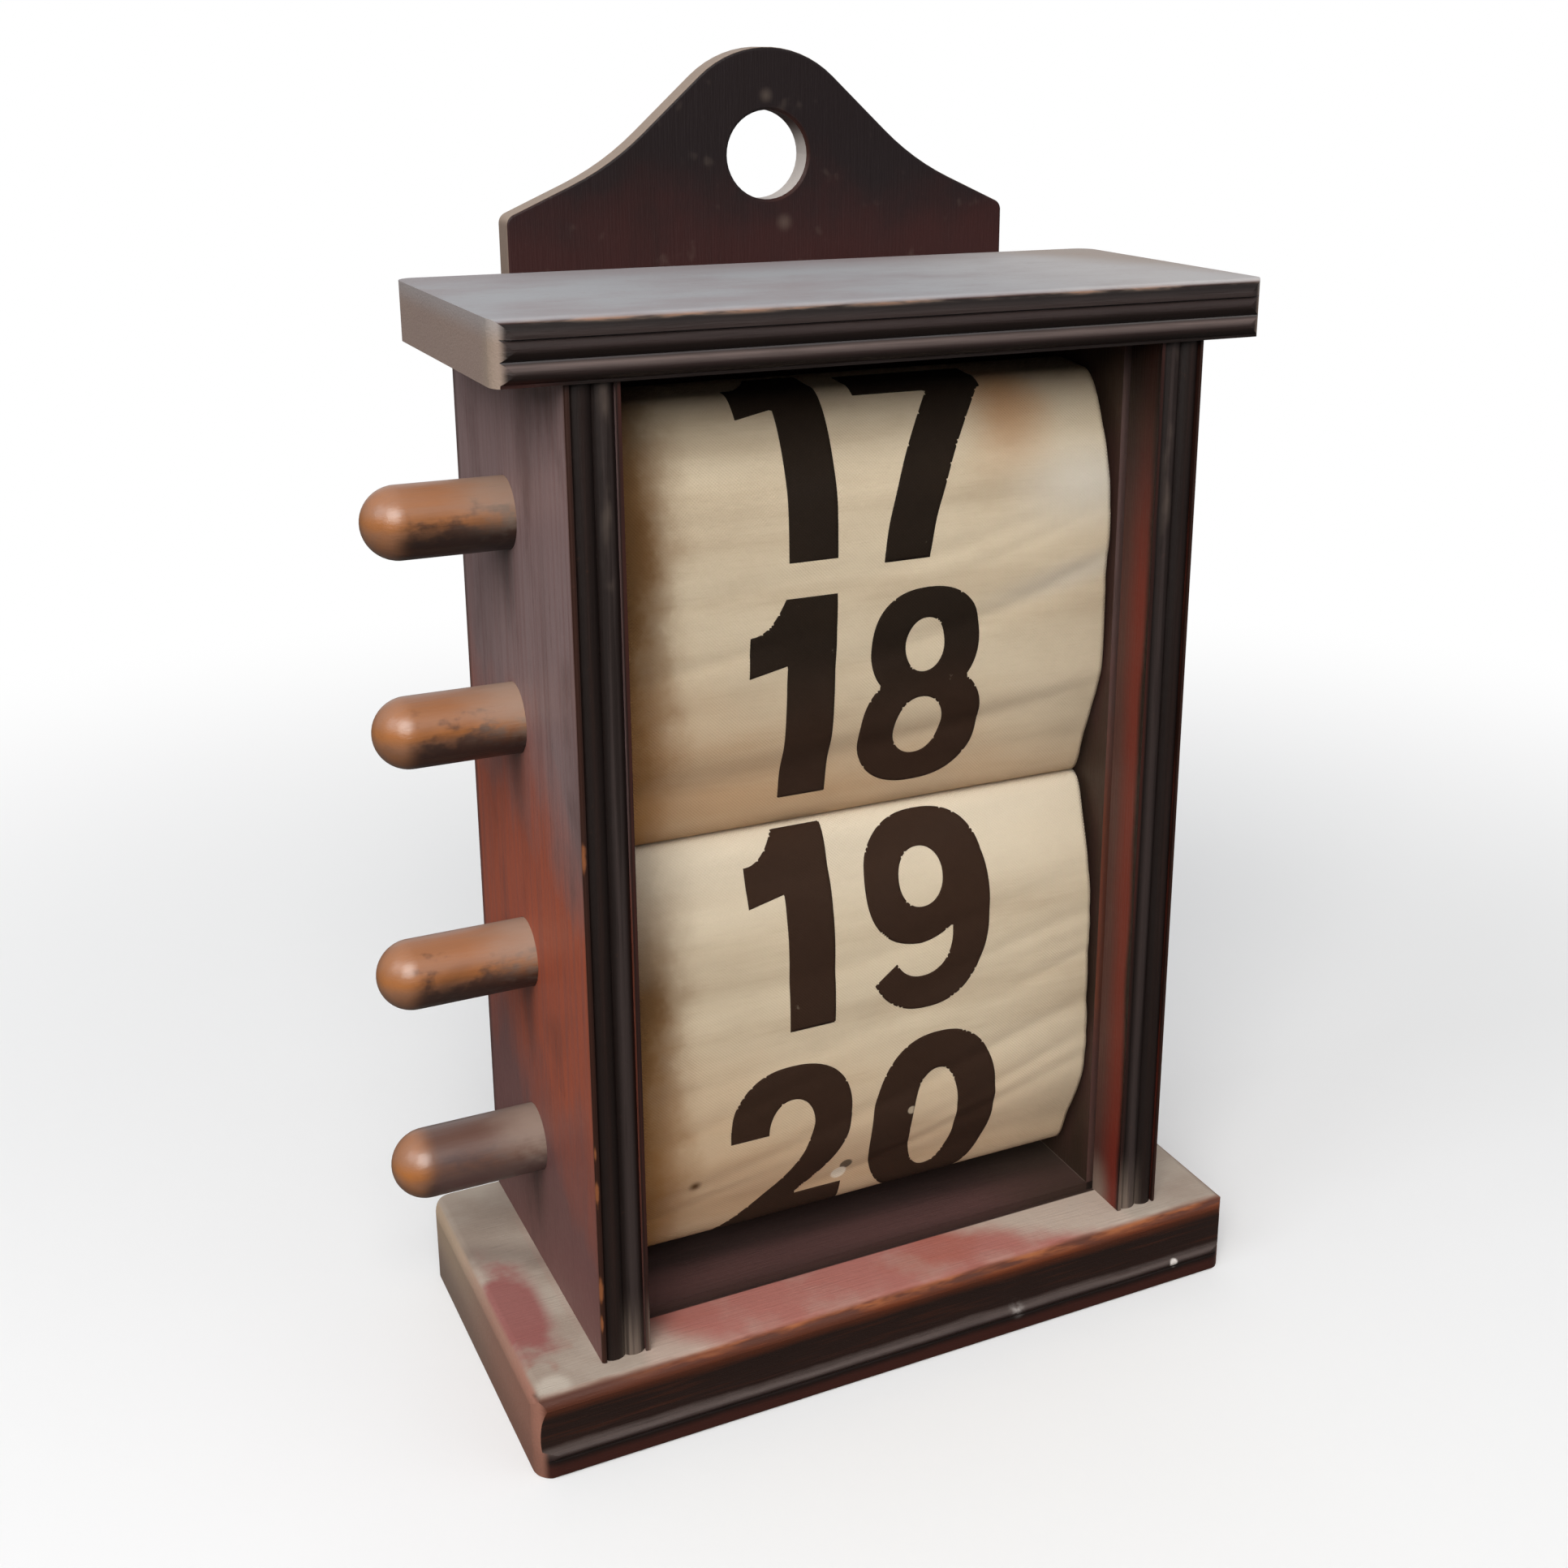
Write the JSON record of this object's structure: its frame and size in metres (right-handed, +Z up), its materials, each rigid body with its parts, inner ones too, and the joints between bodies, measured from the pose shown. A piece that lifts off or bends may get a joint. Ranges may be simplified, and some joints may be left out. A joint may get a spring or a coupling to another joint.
{
  "type": "perpetual desk calendar",
  "caption": "Glazed wooden desk calendar with hand-wound linen number bands, rounded roller knobs along its left side, moulded base and cap, and an arched hanger with a round hole.",
  "frame": {"origin": "centre of the base board's underside", "axes": "+Z up, +Y towards the back board and the wall it hangs on, +X to the right as seen from the front"},
  "size_m": [0.1594, 0.0708, 0.2394],
  "materials": {
    "mahogany": "dark stained, worn to orange brown along the edges, dusty on top",
    "dowel_wood": "honey brown, polished by handling",
    "linen": "cream linen with printed black numbers, stained and creased",
    "glass": "clear, slightly dusty",
    "steel": "dull"
  },
  "bodies": {
    "case": {"base_board": "mahogany", "cap_board": "mahogany", "left_side_panel": "mahogany", "right_side_panel": "mahogany", "back_board": "mahogany", "glass_pane": "glass", "upper_number_band": "linen", "lower_number_band": "linen", "cap_pegs": "dowel_wood", "base_screws": "steel", "back_brads": "steel"},
    "upper_top_roller": {"upper_top_roller_dowel": "dowel_wood", "upper_top_roller_winding": "linen", "upper_top_roller_pin": "steel", "upper_top_roller_tacks": "steel"},
    "upper_bottom_roller": {"upper_bottom_roller_dowel": "dowel_wood", "upper_bottom_roller_winding": "linen", "upper_bottom_roller_pin": "steel", "upper_bottom_roller_tacks": "steel"},
    "lower_top_roller": {"lower_top_roller_dowel": "dowel_wood", "lower_top_roller_winding": "linen", "lower_top_roller_pin": "steel", "lower_top_roller_tacks": "steel"},
    "lower_bottom_roller": {"lower_bottom_roller_dowel": "dowel_wood", "lower_bottom_roller_winding": "linen", "lower_bottom_roller_pin": "steel", "lower_bottom_roller_tacks": "steel"}
  },
  "joints": [
    {"name": "upper_top_roller_turn", "type": "hinge", "parent": "case", "child": "upper_top_roller", "pos_m": [0, 0.0054, 0.1635], "axis": [-1, 0, 0], "range_deg": [-2437.7, 1980.6]},
    {"name": "upper_bottom_roller_turn", "type": "hinge", "parent": "case", "child": "upper_bottom_roller", "pos_m": [0, 0.0054, 0.1266], "axis": [-1, 0, 0], "range_deg": [-2437.7, 1980.6]},
    {"name": "lower_top_roller_turn", "type": "hinge", "parent": "case", "child": "lower_top_roller", "pos_m": [0, 0.0054, 0.0813], "axis": [-1, 0, 0], "range_deg": [-2742.4, 1675.9]},
    {"name": "lower_bottom_roller_turn", "type": "hinge", "parent": "case", "child": "lower_bottom_roller", "pos_m": [0, 0.0054, 0.043], "axis": [-1, 0, 0], "range_deg": [-2742.4, 1675.9]}
  ],
  "couplings": [
    {"joint": "upper_bottom_roller_turn", "follows": "upper_top_roller_turn", "ratio": 1},
    {"joint": "lower_bottom_roller_turn", "follows": "lower_top_roller_turn", "ratio": 1}
  ]
}
